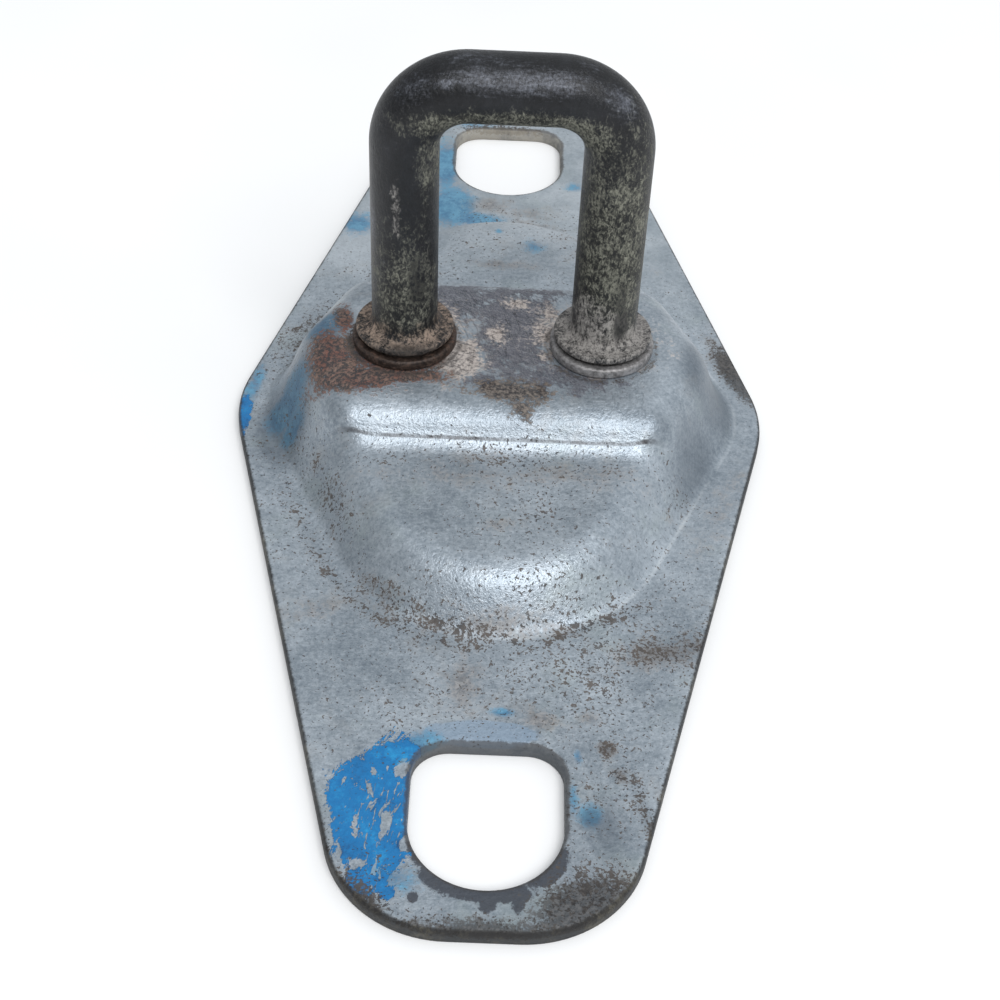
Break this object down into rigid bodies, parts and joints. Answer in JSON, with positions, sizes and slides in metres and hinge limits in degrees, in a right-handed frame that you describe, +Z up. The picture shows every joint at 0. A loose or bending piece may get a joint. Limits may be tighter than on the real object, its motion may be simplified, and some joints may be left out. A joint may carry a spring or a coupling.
{
  "type": "pad eye",
  "caption": "Pressed steel eye plate: a squared U of round bar riveted on a raised two-tier boss, with a D-shaped mounting hole at each end.",
  "frame": {"origin": "middle of the plate's length and width, on its flat underside", "axes": "+Y along the plate towards the flat ends of the D-shaped holes, +Z up through the bar, +X to the right; the bar's legs stand at -X and +X"},
  "size_m": [0.0666, 0.1544, 0.0522],
  "materials": {
    "plate_steel": "dull bluish zinc plating with brown specks, rust stains and chips of blue paint",
    "bar_steel": "black coating worn to a mottled grey-green patina on the legs",
    "washer_steel": "stained and lightly rusted zinc plating"
  },
  "bodies": {
    "root": {"base_plate": "plate_steel", "eye_loop": "bar_steel", "seat_washer_left": "washer_steel", "seat_washer_right": "washer_steel"}
  },
  "joints": []
}
